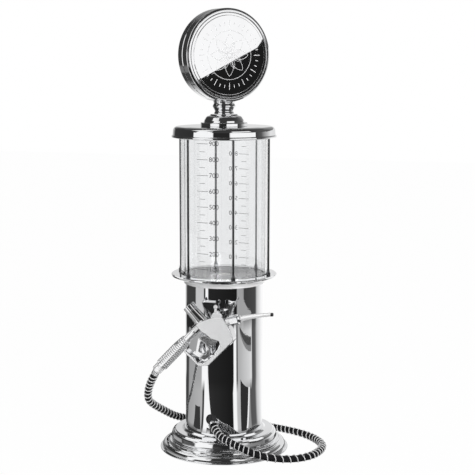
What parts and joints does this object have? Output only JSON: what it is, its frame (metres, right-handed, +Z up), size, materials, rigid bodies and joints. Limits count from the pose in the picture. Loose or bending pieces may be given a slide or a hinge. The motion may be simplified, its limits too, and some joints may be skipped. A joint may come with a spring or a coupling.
{
  "type": "drink dispenser shaped like a petrol pump",
  "caption": "Chrome drink dispenser shaped like an old petrol pump: clear graduated tank, globe on the lid, trigger gun in a holster, spring-wrapped hose.",
  "frame": {"origin": "centre of the base's underside, on the axis of the column", "axes": "+Z up along the column; -Y is the front, where the hose leaves the column and the gun hangs; +X is the right seen from the front"},
  "size_m": [0.1959, 0.1532, 0.477],
  "materials": {
    "chrome": "mirror chrome plate",
    "dial_metal": "mirror plate with a fine etched design",
    "satin_casting": "satin-plated casting",
    "plated_steel": "zinc-plated",
    "clear_acrylic": "clear, polished, with a printed scale",
    "black_rubber": "satin",
    "ballast_iron": "as cast",
    "black_enamel": "matt paint",
    "white_plastic": "smooth",
    "soft_tube": "soft, cloudy"
  },
  "bodies": {
    "stand": {"base_cover": "black_enamel", "base_screws": "plated_steel", "base_shell": "chrome", "base_weight": "ballast_iron", "column_collar": "chrome", "column_tube": "chrome", "drain_fitting": "white_plastic", "drain_nut": "white_plastic", "drain_seal": "black_rubber", "feed_tube": "soft_tube", "holster": "chrome", "holster_screws": "plated_steel", "hose": "black_rubber", "outlet_ferrule": "chrome", "outlet_grommet": "black_rubber", "outlet_nipple": "plated_steel", "rest_pad": "black_rubber", "rod_1": "chrome", "rod_2": "chrome", "rod_3": "chrome", "rod_4": "chrome", "rod_5": "chrome", "rod_6": "chrome", "rod_screws": "plated_steel", "tank": "clear_acrylic", "tank_lower_gasket": "black_rubber", "tank_upper_gasket": "black_rubber", "top_ring": "chrome", "tray": "chrome", "tray_screws": "plated_steel"},
    "lid": {"lid_shell": "chrome", "lid_liner": "white_plastic", "lid_seal": "black_rubber", "lid_plinth": "chrome", "stem_screw": "plated_steel", "stem_nut": "plated_steel"},
    "globe": {"globe_stem": "chrome", "globe_screws": "plated_steel", "globe_front_shell": "chrome", "globe_rear_shell": "chrome", "front_bezel": "chrome", "rear_bezel": "chrome", "front_dial": "dial_metal", "rear_dial": "dial_metal"},
    "gun": {"gun_body": "satin_casting", "valve_cap": "chrome", "valve_seal": "black_rubber", "valve_spring": "plated_steel", "trigger_pin": "plated_steel", "ball_stud": "chrome", "hanger_stud": "chrome", "handle_tube": "chrome", "grip": "chrome", "hose_collar": "chrome", "hose_ferrule": "chrome", "spout_nut": "chrome", "spout_ring": "chrome", "spout": "chrome"},
    "trigger_lever": {"trigger": "satin_casting"},
    "plunger": {"valve_plunger": "plated_steel"}
  },
  "joints": [
    {"name": "lid_lift", "type": "slide", "parent": "stand", "child": "lid", "axis": [0, 0, 1], "range_m": [0, 0.06]},
    {"name": "globe_turn", "type": "hinge", "parent": "lid", "child": "globe", "pos_m": [0, 0, 0.428], "axis": [0, 0, 1], "continuous": true},
    {"name": "gun_lift", "type": "slide", "parent": "stand", "child": "gun", "axis": [0, 0, 1], "range_m": [0, 0.015]},
    {"name": "trigger_pull", "type": "hinge", "parent": "gun", "child": "trigger_lever", "pos_m": [0.0137, -0.056, 0.1439], "axis": [0, 1, 0], "range_deg": [0, 8], "stiffness_Nm_per_rad": 0.4, "springref_deg": -5.73},
    {"name": "plunger_push", "type": "slide", "parent": "gun", "child": "plunger", "axis": [-0.6743, 0, 0.7385], "range_m": [0, 0.0014], "deforming": ["valve_spring"]}
  ],
  "couplings": [
    {"joint": "plunger_push", "follows": "trigger_pull", "m_per_rad": 0.0092}
  ]
}
